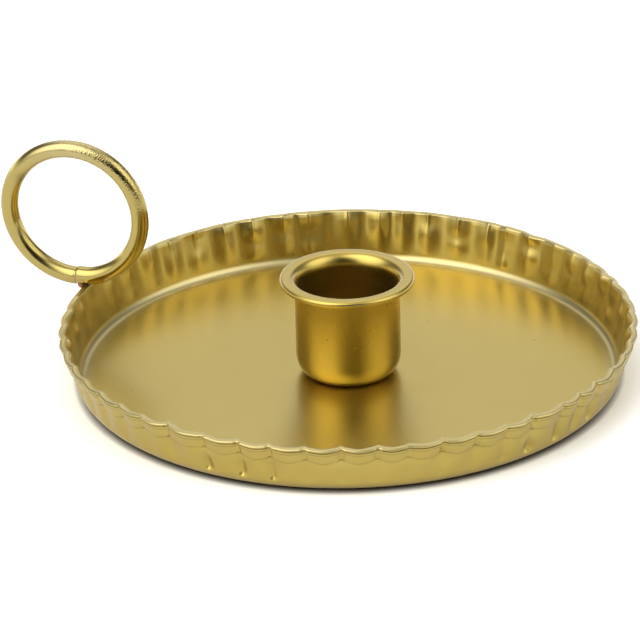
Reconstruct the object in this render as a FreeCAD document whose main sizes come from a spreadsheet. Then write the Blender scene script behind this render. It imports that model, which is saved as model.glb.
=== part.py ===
import FreeCAD, Part
import math
import os
import Sketcher

# Candle plate: a fluted tray of pressed sheet steel, a drawn candle cup and a wire finger ring.
# Millimetres, +Z up, origin on the plate's axis where it rests, finger ring towards -X.

Vector = FreeCAD.Vector
doc = FreeCAD.newDocument("candle_plate")

# Driving dimensions: name, value, meaning. They go into the spreadsheet below.
driving_sizes = [
    ("rim_radius", 69.0, "axis to the outside of the hem on a flute's crown"),
    ("plate_height", 12.7, "resting plane to the rim on a flute's crown"),
    ("base_radius", 61.0, "flat part of the bottom"),
    ("corner_radius", 5.0, "outside bend between bottom and wall"),
    ("wall_start", 3.7, "height where the bend ends and the flutes begin"),
    ("plate_sheet", 0.7, "thickness of the plate's sheet"),
    ("hem_depth", 4.1, "height of the hem folded down outside the rim"),
    ("hem_step", 0.3, "how far the hem's lower edge stands off the wall"),
    ("hem_sag", 0.5, "how far the hem's lower edge hangs lower on a crown than at a crease"),
    ("rim_round", 0.45, "rounding of the fold along the rim"),
    ("flute_depth", 0.95, "crown to crease at the rim"),
    ("crease_lift", 0.35, "how far the rim rises at a crease"),
    ("dimple_top", 3.4, "radius of the raised dimple's flat top"),
    ("dimple_foot", 5.6, "radius of the raised dimple's foot"),
    ("dimple_rise", 1.6, "height of the dimple that hides the rivet's tail"),
    ("cup_radius", 12.5, "outside of the candle cup's body"),
    ("cup_sheet", 0.8, "thickness of the cup's sheet"),
    ("cup_height", 24.6, "plate floor to the top of the lip"),
    ("cup_corner", 4.5, "outside bend at the bottom of the cup"),
    ("lip_radius", 16.1, "outside of the cup's trumpet lip"),
    ("flare_radius", 2.9, "outside bend under the lip"),
    ("rivet_radius", 1.5, "shank of the rivet that holds the cup"),
    ("rivet_play", 0.05, "clearance round the shank"),
    ("rivet_head_radius", 2.9, "domed head inside the cup"),
    ("rivet_head_height", 1.1, "height of the domed head"),
    ("rivet_tail_radius", 2.5, "closed tail under the plate"),
    ("rivet_tail_height", 0.9, "height of the closed tail"),
    ("wire_radius", 2.15, "wire of the finger ring"),
    ("ring_radius", 16.75, "centre of the ring to the middle of the wire"),
    ("ring_reach", 1.35, "outside of the hem to the ring's centre, outwards"),
    ("seam_gap", 0.15, "slit between the butted ends of the wire"),
    ("braze_gap", 0.1, "film of braze between the wire and the rim"),
    ("bead_reach", 1.45, "ring's centre to the middle of the braze bead, inwards"),
    ("bead_length", 1.6, "half length of the bead along the wire"),
    ("bead_width", 1.6, "half width of the bead across the wire"),
    ("bead_height", 1.1, "half height of the bead"),
    ("ring_turn", 3.6, "degrees that the ring stands turned about the vertical"),
    ("ring_lean", 1.5, "degrees that the ring leans sideways"),
]

# Flutes counter-clockwise from the crease next to the finger ring, pressed by hand and uneven:
# each flute's width as a share of the whole turn, and the depth share of the crease it starts at.
flute_width_shares = [
    6.5, 7.0, 6.5, 7.0, 7.0, 7.0, 6.5, 7.0, 6.5,
    6.5, 8.5, 7.5, 6.5, 7.0, 7.0, 7.0, 6.0, 7.0,
    7.0, 6.5, 6.5, 8.0, 5.5, 6.0, 7.0, 7.0, 6.5,
    7.0, 7.0, 7.0, 7.5, 5.0, 6.5, 6.0, 6.0, 7.0,
    6.5, 4.5, 7.0, 7.0, 5.5, 5.0, 7.0, 8.5, 5.5,
    7.0, 6.5, 7.0, 6.5, 6.0, 7.0, 6.5, 7.0, 7.0,
]
crease_depth_shares = [
    0.5, 0.6, 0.6, 0.7, 0.6, 0.7, 0.6, 0.7, 0.6,
    0.5, 1.0, 0.75, 1.0, 1.0, 0.75, 1.0, 0.8, 0.5,
    1.0, 0.8, 0.5, 1.0, 0.8, 0.9, 0.8, 0.7, 0.8,
    0.7, 0.8, 0.7, 0.8, 0.7, 0.8, 0.9, 0.8, 0.7,
    0.9, 0.7, 0.8, 0.9, 0.8, 0.7, 1.0, 0.9, 0.8,
    0.9, 1.0, 0.8, 0.9, 0.8, 0.8, 0.7, 0.6, 0.4,
]
first_crease_angle = 186.4
# The hem is folded over the creases and bridges them, so its outside is less deep than the wall.
hem_depth_share = 0.75

sheet = doc.addObject("Spreadsheet::Sheet", "Sizes")
for row, (alias, value, meaning) in enumerate(driving_sizes, start=1):
    sheet.set(f"A{row}", meaning)
    sheet.set(f"B{row}", str(value))
    sheet.setAlias(f"B{row}", alias)
doc.recompute()


class Size:
    """A length together with the spreadsheet expression that gives it."""

    def __init__(self, value, text):
        self.value = value
        self.text = text

    def __add__(self, other):
        return Size(self.value + other.value, f"({self.text} + {other.text})")

    def __sub__(self, other):
        return Size(self.value - other.value, f"({self.text} - {other.text})")

    def half(self):
        return Size(self.value / 2, f"({self.text} / 2)")


def size(alias):
    return Size(float(sheet.get(alias)), f"Sizes.{alias}")


def other_leg(hypotenuse, leg):
    """The second leg of a right triangle."""
    value = math.sqrt(hypotenuse.value ** 2 - leg.value ** 2)
    return Size(value, f"sqrt({hypotenuse.text}^2 - {leg.text}^2)")


ground = Size(0.0, "0")
plate_sheet = size("plate_sheet")
cup_sheet = size("cup_sheet")


def new_body(name):
    body = doc.addObject("PartDesign::Body", name)
    body.Label = name
    return body


def sketch_on(body, role, name):
    """An empty sketch on one of the body's own origin planes."""
    plane = [item for item in body.Origin.OriginFeatures if item.Role == role][0]
    sketch = body.newObject("Sketcher::SketchObject", name)
    sketch.AttachmentSupport = (plane, [""])
    sketch.MapMode = "FlatFace"
    return sketch


def pin_down(sketch, kind, edge, point, place):
    """Ties one coordinate of a point to the spreadsheet. kind is DistanceX or DistanceY."""
    if place is ground:
        sketch.addConstraint(Sketcher.Constraint("PointOnObject", edge, point, -1))
        return
    number = sketch.addConstraint(Sketcher.Constraint(kind, -1, 1, edge, point, place.value))
    sketch.setExpression(f"Constraints[{number}]", place.text)


def draw_profile(sketch, path):
    """Closed outline of half a turned section.

    Each entry of path is the end of an edge: (radius, height) after a straight edge, or
    (radius, height, centre radius, centre height, turn) after an arc, where turn is 1 for
    counter-clockwise and -1 for clockwise. The first edge starts where the last one ends."""
    ends = []
    start = path[-1]
    for number, entry in enumerate(path):
        begin = Vector(start[0].value, start[1].value, 0)
        end = Vector(entry[0].value, entry[1].value, 0)
        if len(entry) == 2:
            sketch.addGeometry(Part.LineSegment(begin, end), False)
            ends.append((1, 2))
        else:
            centre = Vector(entry[2].value, entry[3].value, 0)
            first, second = (begin, end) if entry[4] > 0 else (end, begin)
            angles = [math.atan2(point.y - centre.y, point.x - centre.x) for point in (first, second)]
            circle = Part.Circle(centre, Vector(0, 0, 1), (begin - centre).Length)
            if angles[1] < angles[0]:
                angles[1] += 2 * math.pi
            sketch.addGeometry(Part.ArcOfCircle(circle, angles[0], angles[1]), False)
            ends.append((1, 2) if entry[4] > 0 else (2, 1))
        start = entry
    for number in range(len(path)):
        link = (number - 1, ends[number - 1][1]) if number else (len(path) - 1, ends[-1][1])
        sketch.addConstraint(Sketcher.Constraint("Coincident", link[0], link[1], number, ends[number][0]))
    start = path[-1]
    for number, entry in enumerate(path):
        pin_down(sketch, "DistanceX", number, ends[number][1], entry[0])
        pin_down(sketch, "DistanceY", number, ends[number][1], entry[1])
        if len(entry) > 2:
            rise = abs(entry[1].value - start[1].value)
            run = abs(entry[0].value - start[0].value)
            if rise >= run:
                pin_down(sketch, "DistanceX", number, 3, entry[2])
            else:
                pin_down(sketch, "DistanceY", number, 3, entry[3])
        start = entry


def turned_body(name, path):
    """A body turned through a full circle about the plate's axis."""
    body = new_body(name)
    sketch = sketch_on(body, "XZ_Plane", f"{name}_section")
    draw_profile(sketch, path)
    turn = body.newObject("PartDesign::Revolution", f"{name}_turned")
    turn.Profile = (sketch, [""])
    turn.ReferenceAxis = (sketch, ["V_Axis"])
    turn.Angle = 360
    sketch.Visibility = False
    return body


# Places that several pieces share
rivet_hole = size("rivet_radius") + size("rivet_play")
dimple_top = size("dimple_top")
dimple_foot = size("dimple_foot")
dimple_rise = size("dimple_rise")
bend_drop = size("corner_radius") - size("wall_start")
wall_foot_outside = size("base_radius") + other_leg(size("corner_radius"), bend_drop)
wall_foot_inside = size("base_radius") + other_leg(size("corner_radius") - plate_sheet, bend_drop)


def make_pan():
    """The plate's floor: rivet hole, raised dimple, flat and the bend up to the wall."""
    base_radius = size("base_radius")
    corner_radius = size("corner_radius")
    wall_start = size("wall_start")
    return turned_body("pan", [
        (dimple_top, dimple_rise),
        (dimple_foot, ground),
        (base_radius, ground),
        (wall_foot_outside, wall_start, base_radius, corner_radius, 1),
        (wall_foot_inside, wall_start),
        (base_radius, plate_sheet, base_radius, corner_radius, -1),
        (dimple_foot, plate_sheet),
        (dimple_top, dimple_rise + plate_sheet),
        (rivet_hole, dimple_rise + plate_sheet),
        (rivet_hole, dimple_rise),
    ])


def crease_angles():
    """Angle of every crease in degrees, with the first one repeated a full turn later."""
    angles = [first_crease_angle]
    for share in flute_width_shares:
        angles.append(angles[-1] + 360.0 * share / sum(flute_width_shares))
    return angles


def wall_point(angle, radius, height):
    turn = math.radians(angle)
    return Vector(radius * math.cos(turn), radius * math.sin(turn), height)


def fluted_ring(crown_radius, height, lean, depth_share=1.0, sag=0.0):
    """One level of the wall: a wire of outward arcs, one for each flute, that meet in creases.

    Depth and lift grow from nothing where the wall starts to their full size at the rim.
    A lifted point moves outwards with the wall's lean."""
    wall_start = size("wall_start").value
    grown = (height - wall_start) / (size("plate_height").value - wall_start)
    depth = size("flute_depth").value * grown * depth_share
    lift = size("crease_lift").value * grown + sag

    def crease_point(number):
        share = crease_depth_shares[number % len(crease_depth_shares)]
        radius = crown_radius + (lean * lift - depth) * share
        return wall_point(angles[number], radius, height + lift * share)

    angles = crease_angles()
    edges = []
    for number in range(len(flute_width_shares)):
        crown = wall_point((angles[number] + angles[number + 1]) / 2, crown_radius, height)
        edges.append(Part.Arc(crease_point(number), crown, crease_point(number + 1)).toShape())
    return Part.Wire(edges)


def make_wall():
    """The fluted wall with its folded hem, lofted through the levels of its section."""
    wall_start = size("wall_start").value
    rim = size("plate_height").value
    rim_round = size("rim_round").value
    hem_sag = size("hem_sag").value
    hem_end = rim - size("hem_depth").value
    shoulder = rim - rim_round
    thickness = (wall_foot_outside - wall_foot_inside).value
    rim_outside = size("rim_radius").value
    lean = (rim_outside - thickness - wall_foot_outside.value) / (rim - wall_start)

    def wall_outside(height):
        return wall_foot_outside.value + lean * (height - wall_start)

    # Each level: crown radius, height, depth share, extra lift at the creases
    levels = [
        (wall_foot_outside.value, wall_start, 1.0, 0.0),
        (wall_outside(hem_end), hem_end, 1.0, hem_sag),
        (wall_outside(hem_end) + size("hem_step").value, hem_end, hem_depth_share, hem_sag),
        (rim_outside, shoulder, hem_depth_share, 0.0),
        (rim_outside - rim_round, rim, 1.0, 0.0),
        (rim_outside - 2 * thickness + rim_round, rim, 1.0, 0.0),
        (wall_outside(shoulder) - thickness, shoulder, 1.0, 0.0),
        (wall_foot_inside.value, wall_start, 1.0, 0.0),
    ]
    sections = []
    for number, (radius, height, depth_share, sag) in enumerate(levels, start=1):
        level = doc.addObject("Part::Feature", f"wall_level_{number}")
        level.Shape = fluted_ring(radius, height, lean, depth_share, sag)
        sections.append(level)
    loft = doc.addObject("Part::Loft", "fluted_wall")
    loft.Sections = sections
    loft.Solid = True
    loft.Ruled = True
    loft.Closed = True
    return loft


def make_plate():
    plate = doc.addObject("Part::Fuse", "plate")
    plate.Label = "plate"
    plate.Base = make_pan()
    plate.Tool = make_wall()
    return plate


def make_cup():
    """Deep-drawn cup: nested dimple, bend, straight socket and trumpet lip with a rounded edge."""
    cup_radius = size("cup_radius")
    cup_corner = size("cup_corner")
    flare = size("flare_radius")
    socket = cup_radius - cup_sheet
    lip_edge = size("lip_radius") - cup_sheet.half()
    bend_height = plate_sheet + cup_corner
    top = plate_sheet + size("cup_height")
    under_lip = top - cup_sheet
    flare_height = under_lip - flare
    dimple_height = dimple_rise + plate_sheet
    return turned_body("candle_cup", [
        (dimple_top, dimple_height),
        (dimple_foot, plate_sheet),
        (cup_radius - cup_corner, plate_sheet),
        (cup_radius, bend_height, cup_radius - cup_corner, bend_height, 1),
        (cup_radius, flare_height),
        (cup_radius + flare, under_lip, cup_radius + flare, flare_height, -1),
        (lip_edge, under_lip),
        (lip_edge, top, lip_edge, top - cup_sheet.half(), 1),
        (cup_radius + flare, top),
        (socket, flare_height, cup_radius + flare, flare_height, 1),
        (socket, bend_height),
        (cup_radius - cup_corner, plate_sheet + cup_sheet, cup_radius - cup_corner, bend_height, -1),
        (dimple_foot, plate_sheet + cup_sheet),
        (dimple_top, dimple_height + cup_sheet),
        (rivet_hole, dimple_height + cup_sheet),
        (rivet_hole, dimple_height),
    ])


def make_rivet():
    """Rivet with a domed head in the cup and a closed tail in the hollow under the dimple."""
    shank = size("rivet_radius")
    head = size("rivet_head_radius")
    head_height = size("rivet_head_height")
    tail = size("rivet_tail_radius")
    seat = dimple_rise + plate_sheet + cup_sheet
    body = new_body("cup_rivet")
    sketch = sketch_on(body, "XZ_Plane", "cup_rivet_section")
    tail_end = dimple_rise - size("rivet_tail_height")
    corners = [
        (tail, tail_end),
        (tail, dimple_rise),
        (shank, dimple_rise),
        (shank, seat),
        (head, seat),
    ]
    start = Vector(0, tail_end.value, 0)
    for radius, height in corners:
        end = Vector(radius.value, height.value, 0)
        sketch.addGeometry(Part.LineSegment(start, end), False)
        start = end
    crown = Vector(0, (seat + head_height).value, 0)
    # The dome is an arc about a centre on the axis, through the crown and the head's edge.
    dome_radius = (head.value ** 2 + head_height.value ** 2) / (2 * head_height.value)
    centre = Vector(0, crown.y - dome_radius, 0)
    edge_angle = math.atan2(seat.value - centre.y, head.value)
    dome = len(corners)
    circle = Part.Circle(centre, Vector(0, 0, 1), dome_radius)
    sketch.addGeometry(Part.ArcOfCircle(circle, edge_angle, math.pi / 2), False)
    sketch.addGeometry(Part.LineSegment(crown, Vector(0, tail_end.value, 0)), False)
    axis_edge = dome + 1
    for number in range(1, len(corners)):
        sketch.addConstraint(Sketcher.Constraint("Coincident", number - 1, 2, number, 1))
    sketch.addConstraint(Sketcher.Constraint("Coincident", dome - 1, 2, dome, 1))
    sketch.addConstraint(Sketcher.Constraint("Coincident", dome, 2, axis_edge, 1))
    sketch.addConstraint(Sketcher.Constraint("Coincident", axis_edge, 2, 0, 1))
    for number, (radius, height) in enumerate(corners):
        pin_down(sketch, "DistanceX", number, 2, radius)
        pin_down(sketch, "DistanceY", number, 2, height)
    sketch.addConstraint(Sketcher.Constraint("PointOnObject", 0, 1, -2))
    pin_down(sketch, "DistanceY", 0, 1, tail_end)
    sketch.addConstraint(Sketcher.Constraint("PointOnObject", dome, 3, -2))
    sketch.addConstraint(Sketcher.Constraint("PointOnObject", dome, 2, -2))
    pin_down(sketch, "DistanceY", dome, 2, seat + head_height)
    turn = body.newObject("PartDesign::Revolution", "cup_rivet_turned")
    turn.Profile = (sketch, [""])
    turn.ReferenceAxis = (sketch, ["V_Axis"])
    turn.Angle = 360
    return body


def ring_foot():
    """Lowest point of the finger ring, above the rim and just outside it."""
    reach = size("rim_radius") + size("ring_reach")
    return Vector(-reach.value, 0, (size("plate_height") + size("braze_gap")).value)


def make_ring():
    """Round wire bent to a ring. Its butted ends meet at the foot, over the rim."""
    body = new_body("ring_handle")
    sketch = sketch_on(body, "XZ_Plane", "wire_section")
    ring_radius = size("ring_radius")
    wire_radius = size("wire_radius")
    wire = Part.Circle(Vector(ring_radius.value, 0, 0), Vector(0, 0, 1), wire_radius.value)
    sketch.addGeometry(wire, False)
    pin_down(sketch, "DistanceX", 0, 3, ring_radius)
    pin_down(sketch, "DistanceY", 0, 3, ground)
    number = sketch.addConstraint(Sketcher.Constraint("Radius", 0, wire_radius.value))
    sketch.setExpression(f"Constraints[{number}]", wire_radius.text)
    bend = body.newObject("PartDesign::Revolution", "ring_bent")
    bend.Profile = (sketch, [""])
    bend.ReferenceAxis = (sketch, ["V_Axis"])
    bend.Midplane = True
    bend.setExpression("Angle", "360 - Sizes.seam_gap / Sizes.ring_radius * 180 / pi")
    # The ring is bent flat with its seam at -X, then stood on the rim with the seam down.
    upright = FreeCAD.Rotation(Vector(0, 0, 1), Vector(1, 0, 0), Vector(0, 1, 0), "ZXY")
    lean = FreeCAD.Rotation(Vector(1, 0, 0), size("ring_lean").value)
    turned = FreeCAD.Rotation(Vector(0, 0, 1), size("ring_turn").value)
    stand = turned.multiply(lean)
    rise = Vector(0, 0, (ring_radius + wire_radius).value)
    centre = ring_foot() + stand.multVec(rise)
    body.Placement = FreeCAD.Placement(centre, stand.multiply(upright))
    return body


def make_braze(plate, ring):
    """Bead of braze metal in the corner between the wire and the rim, cut to meet both."""
    bead = doc.addObject("Part::Ellipsoid", "bead_blank")
    bead.setExpression("Radius1", "Sizes.bead_height")
    bead.setExpression("Radius2", "Sizes.bead_length")
    bead.setExpression("Radius3", "Sizes.bead_width")
    middle = ring_foot() + Vector(size("bead_reach").value, 0, 0)
    bead.Placement = FreeCAD.Placement(middle, FreeCAD.Rotation())
    clear_of_ring = doc.addObject("Part::Cut", "bead_under_wire")
    clear_of_ring.Base = bead
    clear_of_ring.Tool = ring
    braze = doc.addObject("Part::Cut", "ring_braze")
    braze.Label = "ring_braze"
    braze.Base = clear_of_ring
    braze.Tool = plate
    return braze


plate = make_plate()
cup = make_cup()
rivet = make_rivet()
ring = make_ring()
braze = make_braze(plate, ring)
doc.recompute()

pieces = [plate, cup, rivet, ring, braze]
for item in doc.Objects:
    if "Invalid" in item.State or "Error" in item.State:
        raise RuntimeError(f"{item.Name} did not build: {item.State}")
os.makedirs("parts", exist_ok=True)
for piece in pieces:
    shape = piece.Shape
    if shape.isNull() or not shape.isValid() or not shape.Solids:
        raise RuntimeError(f"{piece.Label} has no valid solid")
for piece in pieces:
    shape = piece.Shape
    shape.exportStep(f"parts/{piece.Label}.step")
    box = shape.BoundBox
    print(f"{piece.Label}: {len(shape.Solids)} solid, {shape.Volume:.1f} mm3, "
          f"x {box.XMin:.2f} {box.XMax:.2f}, y {box.YMin:.2f} {box.YMax:.2f}, "
          f"z {box.ZMin:.2f} {box.ZMax:.2f}")
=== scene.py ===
import collections
import math

import bmesh
import bpy
from mathutils import Matrix, Vector, noise


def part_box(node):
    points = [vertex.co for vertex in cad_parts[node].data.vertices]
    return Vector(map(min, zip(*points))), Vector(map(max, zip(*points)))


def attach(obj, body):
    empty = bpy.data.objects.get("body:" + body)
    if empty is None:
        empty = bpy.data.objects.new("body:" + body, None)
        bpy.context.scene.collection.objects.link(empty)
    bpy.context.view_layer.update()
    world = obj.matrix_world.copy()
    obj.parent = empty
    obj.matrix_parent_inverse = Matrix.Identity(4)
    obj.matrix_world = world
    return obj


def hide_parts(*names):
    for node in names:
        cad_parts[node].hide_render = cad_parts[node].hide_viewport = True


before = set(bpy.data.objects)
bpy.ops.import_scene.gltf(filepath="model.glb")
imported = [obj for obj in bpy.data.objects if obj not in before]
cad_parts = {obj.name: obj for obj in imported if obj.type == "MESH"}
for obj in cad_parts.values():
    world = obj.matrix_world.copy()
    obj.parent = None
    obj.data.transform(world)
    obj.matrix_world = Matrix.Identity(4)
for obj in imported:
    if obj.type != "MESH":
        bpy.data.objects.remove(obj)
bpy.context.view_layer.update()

# Candle plate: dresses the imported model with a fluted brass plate, a candle cup and a finger ring.
# Metres, +Z up, origin on the plate's axis where it rests, finger ring towards -X.

bl_info = {
    "name": "Candle plate",
    "version": (1, 0, 0),
    "blender": (4, 5, 0),
    "location": "3D View > Sidebar > Candle plate",
    "description": "Builds a fluted brass candle plate with a cup, a finger ring and a studio",
    "category": "Add Mesh",
}

MM = 0.001
plate_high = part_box("plate")[1]
cup_low, cup_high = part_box("candle_cup")
ring_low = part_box("ring_handle")[0]

# Flutes counter-clockwise from the crease next to the finger ring, pressed by hand and uneven:
# each flute's width in parts of their sum, and the depth share of the crease it starts at
FLUTE_WIDTHS = (
    6.5, 7.0, 6.5, 7.0, 7.0, 7.0, 6.5, 7.0, 6.5,
    6.5, 8.5, 7.5, 6.5, 7.0, 7.0, 7.0, 6.0, 7.0,
    7.0, 6.5, 6.5, 8.0, 5.5, 6.0, 7.0, 7.0, 6.5,
    7.0, 7.0, 7.0, 7.5, 5.0, 6.5, 6.0, 6.0, 7.0,
    6.5, 4.5, 7.0, 7.0, 5.5, 5.0, 7.0, 8.5, 5.5,
    7.0, 6.5, 7.0, 6.5, 6.0, 7.0, 6.5, 7.0, 7.0,
)
CREASE_DEPTHS = (
    0.5, 0.6, 0.6, 0.7, 0.6, 0.7, 0.6, 0.7, 0.6,
    0.5, 1.0, 0.75, 1.0, 1.0, 0.75, 1.0, 0.8, 0.5,
    1.0, 0.8, 0.5, 1.0, 0.8, 0.9, 0.8, 0.7, 0.8,
    0.7, 0.8, 0.7, 0.8, 0.7, 0.8, 0.9, 0.8, 0.7,
    0.9, 0.7, 0.8, 0.9, 0.8, 0.7, 1.0, 0.9, 0.8,
    0.9, 1.0, 0.8, 0.9, 0.8, 0.8, 0.7, 0.6, 0.4,
)
FIRST_CREASE_ANGLE = math.radians(186.4)
# Creases that end in a strong dent low down, by number, with their share of the dent's depth
STRONG_DENTS = {
    11: 1.15, 12: 1.0, 13: 1.0, 20: 0.5, 21: 1.0, 22: 1.1, 24: 1.0, 30: 0.8, 37: 0.9, 44: 0.7,
}
# All other creases end in a faint dent: this share times the crease's own
FAINT_DENT = 0.25

# How fast a flute grows deep above its start
FLUTE_GROWTH = 2.2
# How much a flute swells and shrinks on the way up, over what height, and how far its noise
# lies from its neighbour's
FLUTE_WANDER = 0.9
WANDER_HEIGHT = 3.5 * MM
WANDER_STEP = 7.3
# How much of the rise of the rim at a crease is a soft wave, and how much is pinched
SOFT_RISE = 0.66
PINCHED_RISE = 0.34
# Heights where the ridges inside and the dents outside begin, and where they are full
RIDGE_HEIGHTS = (7.0 * MM, 12.0 * MM)
DENT_HEIGHTS = (2.2 * MM, 3.7 * MM)
# A dent's width at its upper end beside its foot, how it deepens downwards, how much of it shows
# inside, and how far below the hem it takes to show there
DENT_NECK = 0.45
DENT_GROWTH = 1.5
DENT_INSIDE = 0.5
DENT_FADE = 2.0 * MM
# Width of the waves in the uneven wall and floor, and of the floor's edge where they fade
WALL_WAVE = 5 * MM
FLOOR_WAVE = 24 * MM
FLOOR_EDGE = 6 * MM
# Hem: how deep the slit behind it is, half widths of its groove and of its faint line, and how
# far the line lies below the groove
SLIT_DEPTH = 0.4 * MM
GROOVE_WIDTH = 0.16 * MM
LINE_WIDTH = 0.13 * MM
LINE_DROP = 0.85 * MM

# Shares of pale wear, with a painted highlight on the inner bend, and of brown tarnish with
# painted shade on the plating
WEAR_AND_HIGHLIGHT = {"rim": 0.5, "beside_rim": 0.3, "inner_bend": 0.7}
TARNISH_AND_SHADE = {
    "slit": 0.9, "hem_edge": 0.15, "groove": 0.8, "line": 0.35, "below_hem": 0.35, "crease": 0.5,
}
# How far the wear reaches from the rim, how far the painted highlight reaches onto the inner bend,
# how far the tarnish and painted shade reach below the hem, and half the width that they have in a
# crease
WEAR_BELOW_RIM = 0.5 * MM
HIGHLIGHT_ON_BEND = 0.8 * MM
TARNISH_AND_SHADE_BELOW_HEM = 0.7 * MM
TARNISH_AND_SHADE_IN_CREASE = 1.0 * MM
# How far below the top of the cup its brown tarnish and painted shade begin, and where they are
# full
CUP_STAIN_AND_SHADE_DEPTHS = (2.5 * MM, 8 * MM)
# Marks on the ring, in degrees round it from its foot over the plate's side: where its pits grow
# and where they end, and the middle and half width of its brown streak and of its pale top, worn
# and with a painted highlight
PITS_GROW = (85, 125)
PITS_END = (170, 200)
STREAK = (236, 6)
WORN_AND_HIGHLIGHT_TOP = (180, 38)
# Across the braze bead: where its burnt flux and painted shade begin, and where they are full
BURNT_AND_SHADED = (-69.6 * MM, -68.4 * MM)

# Points across a flute, round the cup, round the ring's wire and along it
FLUTE_POINTS = 28
CUP_POINTS = 192
WIRE_POINTS = 40
RING_POINTS = 260
# Points along each part of the plate's and of the cup's section
PLATE_POINTS = {
    "bottom": 10, "bend": 36, "wall": 26, "hem_edge": 4, "hem": 44, "rim": 16, "inside": 30,
    "inner_bend": 30, "floor": 28,
}
CUP_SECTION_POINTS = {
    "corner": 16, "body": 10, "outer_bend": 12, "edge": 30, "inner_bend": 30, "bore": 16,
    "inner_corner": 12,
}

# Level of the paper for the camera, so that it reads white like the photo's, and in the metal
PAPER_SEEN = 1.35
PAPER_MIRRORED = 0.95
# The painted shadow on the paper right under the plate's bend: how far it reaches and how it
# falls off
SHADE_REACH = 2.0 * MM
SHADE_POWER = 1.2
# Level of the studio all round, its least level, and how much paler it is behind the plate
ROOM_LEVEL = 0.22
LEAST_LEVEL = 0.02
HORIZON_LEVEL = 2.4
# Where that pale horizon begins and is full on the way back, and where it fades on the way up
HORIZON_DEPTH = (-0.8, 0.9)
HORIZON_HEIGHT = (0.02, 0.26)
# Soft panels: azimuth, elevation, half width and fading edge in degrees, and strength
PANELS = (
    (-50, 43, 12, 36, 2.7),
    (70, 36, 7, 29, 2.05),
    (180, 44, 12, 24, 1.05),
    (-3, 22, 12, 17, -1.35),
    (0, 90, 12, 42, 0.5),
)


def linear(hex_value):
    """Turns an sRGB hex colour into the linear one that shaders take."""
    parts = [int(hex_value[start:start + 2], 16) / 255 for start in (1, 3, 5)]
    return [part / 12.92 if part <= 0.04045 else ((part + 0.055) / 1.055) ** 2.4
            for part in parts] + [1.0]


def length(name, description, default):
    """A size in metres."""
    return bpy.props.FloatProperty(name=name, description=description, default=default,
                                   unit="LENGTH", subtype="DISTANCE", precision=5)


def share(name, description, default):
    """A part of 1."""
    return bpy.props.FloatProperty(name=name, description=description, default=default,
                                   subtype="FACTOR", min=0.0, max=1.0)


def angle(name, description, default):
    """An angle, given in degrees and kept in radians."""
    return bpy.props.FloatProperty(name=name, description=description,
                                   default=math.radians(default), unit="ROTATION", subtype="ANGLE")


def colour(name, description, default):
    """A colour, given as sRGB hex and kept linear."""
    return bpy.props.FloatVectorProperty(name=name, description=description, size=4, min=0.0,
                                         max=1.0, default=linear(default), subtype="COLOR")


class PlateSizes(bpy.types.PropertyGroup):
    """Sizes of the pressed plate."""

    rim_radius: length("Rim radius", "Axis to the outside of the hem on a crown",
                       plate_high.x - 0.03 * MM)
    height: length("Height", "Resting plane to the highest crease", plate_high.z)
    crease_lift: length("Crease lift", "How far the rim rises at a crease", 0.35 * MM)
    base_radius: length("Base radius", "Flat part of the bottom", 61.0 * MM)
    corner_radius: length("Corner radius", "Outside bend between bottom and wall", 5.0 * MM)
    wall_start: length("Wall start", "Height where the bend ends", 3.7 * MM)
    flute_start: length("Flute start", "Height where the flutes begin to show", 2.6 * MM)
    sheet: length("Sheet", "Thickness of the plate's sheet", 0.7 * MM)
    hem_depth: length("Hem depth", "Height of the hem folded down outside the rim", 4.1 * MM)
    hem_step: length("Hem step", "How far the hem's lower edge stands off the wall", 0.3 * MM)
    inner_bend: length("Inner bend", "Bend between floor and wall, on the inside", 2.3 * MM)
    hem_slit: length("Hem slit", "Gap between the hem and the wall behind it", 0.14 * MM)
    hem_sag: length("Hem sag", "How far the hem hangs lower on a crown than at a crease", 0.7 * MM)
    bead_height: length("Bead height", "Rounded fold along the rim", 0.9 * MM)
    bead_groove: length("Bead groove", "Depth of the groove under the rounded fold", 0.18 * MM)
    line_groove: length("Line groove", "Depth of the faint line below that groove", 0.08 * MM)
    flute_depth: length("Flute depth", "Crown to crease at the rim, in a soft wave", 1.0 * MM)
    trough_depth: length("Trough depth", "Depth of the pinched trough in the hem", 0.4 * MM)
    trough_width: length("Trough width", "Half width of the pinched trough", 0.66 * MM)
    ridge_depth: length("Ridge depth", "Height of the ridge inside, near the rim", 0.24 * MM)
    ridge_width: length("Ridge width", "Half width of that ridge", 0.5 * MM)
    dent_depth: length("Dent depth", "Depth of the dent where a crease ends low down", 0.8 * MM)
    dent_width: length("Dent width", "Half width of that dent", 1.2 * MM)
    hem_share: share("Hem share", "Depth of the flutes on the hem beside those on the wall", 0.6)
    dimple_foot: length("Dimple foot", "Radius of the raised dimple's foot", 5.6 * MM)
    dimple_top: length("Dimple top", "Radius of the raised dimple's flat top", 3.4 * MM)
    dimple_rise: length("Dimple rise", "Height of the dimple under the cup", 1.6 * MM)
    hole_radius: length("Hole radius", "Hole for the rivet", 1.55 * MM)
    floor_unevenness: length("Floor unevenness", "Waviness of the pressed floor", 0.05 * MM)
    wall_unevenness: length("Wall unevenness", "Small dents of the hand-pressed wall", 0.1 * MM)


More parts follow.
